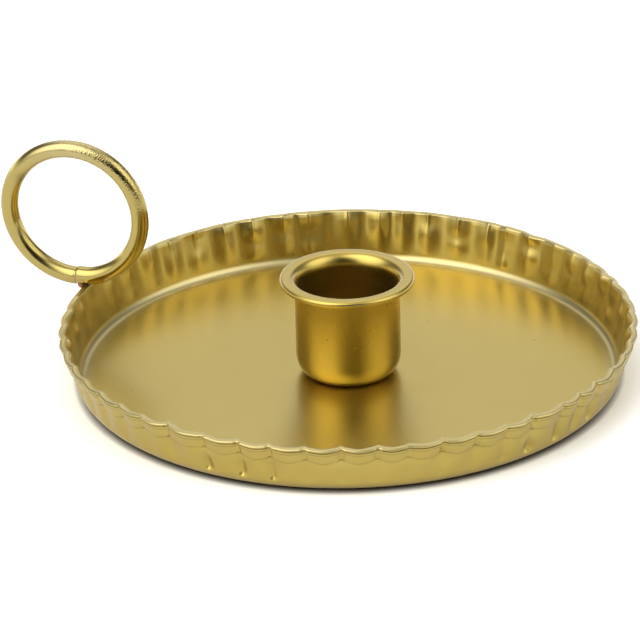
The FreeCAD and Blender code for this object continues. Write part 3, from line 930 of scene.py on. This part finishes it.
def make_floor(settings):
    """Pale seamless floor. It shows white to the camera and to the metal, and keeps the shadow."""
    shape = bmesh.new()
    bmesh.ops.create_circle(shape, cap_ends=True, segments=96, radius=settings.floor_radius)
    mesh = bpy.data.meshes.new("studio_floor")
    shape.to_mesh(mesh)
    shape.free()
    mesh.materials.append(paper_material(settings))
    floor = bpy.data.objects.new("studio_floor", mesh)
    bpy.context.scene.collection.objects.link(floor)


def make_world(settings):
    """Soft studio: pale all round and paler behind the plate, a large panel left of the camera,
    smaller ones to the right, behind and overhead, and a darker gap where the camera stands."""
    world = bpy.data.worlds.new("studio")
    bpy.context.scene.world = world
    world.use_nodes = True
    tree = world.node_tree
    tree.nodes.clear()
    way = add_node(tree, "ShaderNodeTexCoord").outputs["Generated"]
    behind = add_node(tree, "ShaderNodeVectorMath",
                      {0: way, 1: -direction(settings, 0, 0)}, operation="DOT_PRODUCT")
    behind = remap(tree, behind.outputs["Value"], *HORIZON_DEPTH, 0.0, HORIZON_LEVEL,
                   interpolation_type="SMOOTHSTEP")
    height = add_node(tree, "ShaderNodeSeparateXYZ", {"Vector": way}).outputs["Z"]
    low = remap(tree, height, *HORIZON_HEIGHT, 1.0, 0.0, interpolation_type="SMOOTHSTEP")
    total = calculate(tree, "MULTIPLY_ADD", behind, low, ROOM_LEVEL)
    for azimuth, elevation, half_width, edge, strength in PANELS:
        facing = add_node(tree, "ShaderNodeVectorMath",
                          {0: way, 1: direction(settings, azimuth, elevation)},
                          operation="DOT_PRODUCT")
        lit = remap(tree, facing.outputs["Value"], math.cos(math.radians(half_width + edge)),
                    math.cos(math.radians(half_width)), 0.0, strength,
                    interpolation_type="SMOOTHSTEP")
        total = calculate(tree, "ADD", total, lit)
    total = calculate(tree, "MAXIMUM", total, LEAST_LEVEL)
    path = add_node(tree, "ShaderNodeLightPath")
    surround = add_node(tree, "ShaderNodeBackground", {"Strength": total})
    backdrop = add_node(tree, "ShaderNodeBackground", {"Strength": 1.0})
    chosen = add_node(tree, "ShaderNodeMixShader", {0: path.outputs["Is Camera Ray"],
                                                    1: surround.outputs["Background"],
                                                    2: backdrop.outputs["Background"]})
    output = add_node(tree, "ShaderNodeOutputWorld")
    tree.links.new(chosen.outputs["Shader"], output.inputs["Surface"])


def make_camera(settings):
    """Camera at the photograph's viewing angle."""
    raised = settings.elevation
    forward = Vector((0.0, math.cos(raised), -math.sin(raised)))
    right = Vector((1.0, 0.0, 0.0))
    up = Vector((0.0, math.sin(raised), math.cos(raised)))
    place = -(right * settings.aim_right + up * settings.aim_up + forward * settings.distance)
    tilt = settings.roll
    across = right * math.cos(tilt) - up * math.sin(tilt)
    upright = right * math.sin(tilt) + up * math.cos(tilt)
    turn = Matrix.Rotation(settings.azimuth, 3, "Z")
    axes = Matrix((turn @ across, turn @ upright, turn @ -forward)).transposed()
    camera = bpy.data.objects.new("camera", bpy.data.cameras.new("camera"))
    bpy.context.scene.collection.objects.link(camera)
    camera.matrix_world = Matrix.Translation(turn @ place) @ axes.to_4x4()
    camera.data.sensor_width = 36.0
    camera.data.lens = settings.lens
    camera.data.clip_start = 0.01
    camera.data.clip_end = 100.0
    bpy.context.scene.camera = camera


class OBJECT_OT_candle_plate_stage(bpy.types.Operator):
    """Sets up the floor, the light and the camera"""

    bl_idname = "candle_plate.stage"
    bl_label = "Studio"

    def execute(self, context):
        settings = context.scene.plate_stage
        make_floor(settings)
        make_world(settings)
        make_camera(settings)
        context.scene.view_settings.view_transform = "Standard"
        return {"FINISHED"}


class VIEW3D_PT_candle_plate(bpy.types.Panel):
    """Lists what builds the candle plate"""

    bl_label = "Candle plate"
    bl_space_type = "VIEW_3D"
    bl_region_type = "UI"
    bl_category = "Candle plate"

    def draw(self, context):
        layout = self.layout
        for name in property_groups:
            group = getattr(context.scene, name)
            for size in group.__annotations__:
                layout.prop(group, size)
        for operator in operators:
            layout.operator(operator.bl_idname)


operators = (
    OBJECT_OT_candle_plate_plate,
    OBJECT_OT_candle_plate_cup,
    OBJECT_OT_candle_plate_rivet,
    OBJECT_OT_candle_plate_ring,
    OBJECT_OT_candle_plate_braze,
    OBJECT_OT_candle_plate_stage,
)
property_groups = {
    "plate_sizes": PlateSizes,
    "cup_sizes": CupSizes,
    "ring_sizes": RingSizes,
    "plate_finishes": Finishes,
    "plate_stage": StageSettings,
}


def register():
    for name, group in property_groups.items():
        bpy.utils.register_class(group)
        setattr(bpy.types.Scene, name, bpy.props.PointerProperty(type=group))
    for cls in operators + (VIEW3D_PT_candle_plate,):
        bpy.utils.register_class(cls)


def unregister():
    for cls in reversed(operators + (VIEW3D_PT_candle_plate,)):
        bpy.utils.unregister_class(cls)
    for name, group in property_groups.items():
        delattr(bpy.types.Scene, name)
        bpy.utils.unregister_class(group)


def main():
    register()
    bpy.ops.candle_plate.plate()
    bpy.ops.candle_plate.cup()
    bpy.ops.candle_plate.rivet()
    bpy.ops.candle_plate.ring()
    bpy.ops.candle_plate.braze()
    bpy.ops.candle_plate.stage()
    bpy.context.view_layer.update()


if __name__ == "__main__":
    main()
